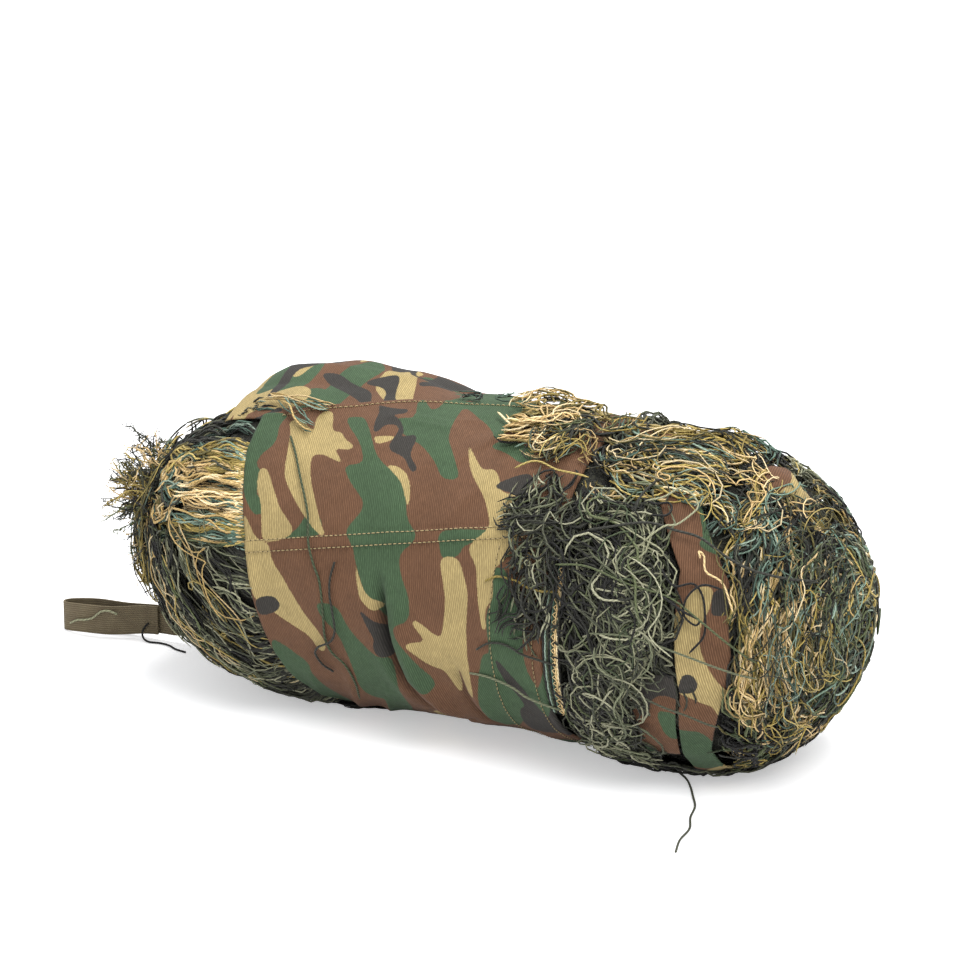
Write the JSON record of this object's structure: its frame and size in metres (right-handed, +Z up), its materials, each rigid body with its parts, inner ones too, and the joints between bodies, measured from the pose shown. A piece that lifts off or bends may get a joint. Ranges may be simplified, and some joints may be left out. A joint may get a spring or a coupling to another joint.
{
  "type": "ghillie suit",
  "caption": "Rolled camouflage suit with thread hanks at both ends, a wrapped front panel with a free top flap, and a webbing strap with a sewn loop.",
  "frame": {"origin": "middle of the flat underside of the rolled suit, on the surface it lies on, under the middle of the wrapped front panel", "axes": "+X along the roll, away from the strap end; -Y is the front, where the wrapped panel shows; +Z up"},
  "size_m": [0.7261, 0.3223, 0.2679],
  "materials": {
    "camo_cloth": "woodland printed ribbed cotton cloth, matt",
    "waistband_cloth": "plain woven cotton, matt",
    "header_tape": "woven tape with rows of stitched cord ends",
    "dark_thread": "black to dark brown twisted polyester thread",
    "grey_thread": "grey green twisted thread",
    "straw_thread": "straw and tan twisted thread",
    "olive_thread": "olive twisted thread",
    "teal_thread": "blue green twisted thread",
    "netting": "knotted thread netting",
    "webbing": "olive brown woven strap webbing"
  },
  "bodies": {
    "bundle": {"black_under_hank": "dark_thread", "bottom_fringe": "dark_thread", "cascade_olive_hank": "olive_thread", "cascade_straw_hank": "straw_thread", "cascade_teal_hank": "teal_thread", "collar_edge": "camo_cloth", "felled_seam": "camo_cloth", "fringe_header_tape": "header_tape", "grey_lower_hank": "grey_thread", "grey_middle_hank": "grey_thread", "grey_upper_hank": "grey_thread", "hood_edge": "camo_cloth", "jacket_back_panel": "camo_cloth", "jacket_inner_ply": "camo_cloth", "jacket_outer_ply": "camo_cloth", "left_black_hank": "dark_thread", "left_crown_hank": "dark_thread", "left_dark_hank": "grey_thread", "left_end_hank": "dark_thread", "left_inner_hank": "dark_thread", "left_olive_hank": "olive_thread", "left_rear_lower_hank": "grey_thread", "left_rear_upper_hank": "olive_thread", "left_straw_hank": "straw_thread", "left_under_hank": "dark_thread", "net_tuft_lower": "netting", "net_tuft_upper": "netting", "right_end_hank": "dark_thread", "right_inner_hank": "dark_thread", "right_rear_lower_hank": "olive_thread", "right_rear_upper_hank": "grey_thread", "side_panel": "camo_cloth", "sleeve_strip": "camo_cloth", "strap_anchor": "webbing", "thread_black": "dark_thread", "thread_dark": "dark_thread", "thread_floor": "dark_thread", "thread_green": "teal_thread", "thread_grey": "grey_thread", "thread_olive": "olive_thread", "top_end_hank": "teal_thread", "top_front_hank": "straw_thread", "trouser_leg_left": "camo_cloth", "trouser_leg_right": "camo_cloth", "trouser_waistband": "waistband_cloth", "wrap_lower_panel": "camo_cloth", "wrap_side_hem": "camo_cloth", "wrap_upper_panel": "camo_cloth"},
    "flap": {"wrap_flap": "camo_cloth", "flap_tuft": "straw_thread"},
    "strap": {"strap_run": "webbing", "strap_bar_tack": "webbing", "thread_strap": "dark_thread"},
    "loop": {"strap_loop": "webbing", "thread_loop": "teal_thread"}
  },
  "joints": [
    {"name": "flap_lift", "type": "hinge", "parent": "bundle", "child": "flap", "pos_m": [-0.045, -0.07605, 0.2363], "axis": [1, 0, 0], "range_deg": [0, 70]},
    {"name": "strap_swing", "type": "hinge", "parent": "bundle", "child": "strap", "pos_m": [-0.276, 0.014, 0.0155], "axis": [0, 0, 1], "range_deg": [-30, 30], "stiffness_Nm_per_rad": 0.02},
    {"name": "loop_flex", "type": "hinge", "parent": "strap", "child": "loop", "pos_m": [-0.356, 0.0054, 0.0155], "axis": [0, 0, 1], "range_deg": [-30, 30], "stiffness_Nm_per_rad": 0.01}
  ]
}
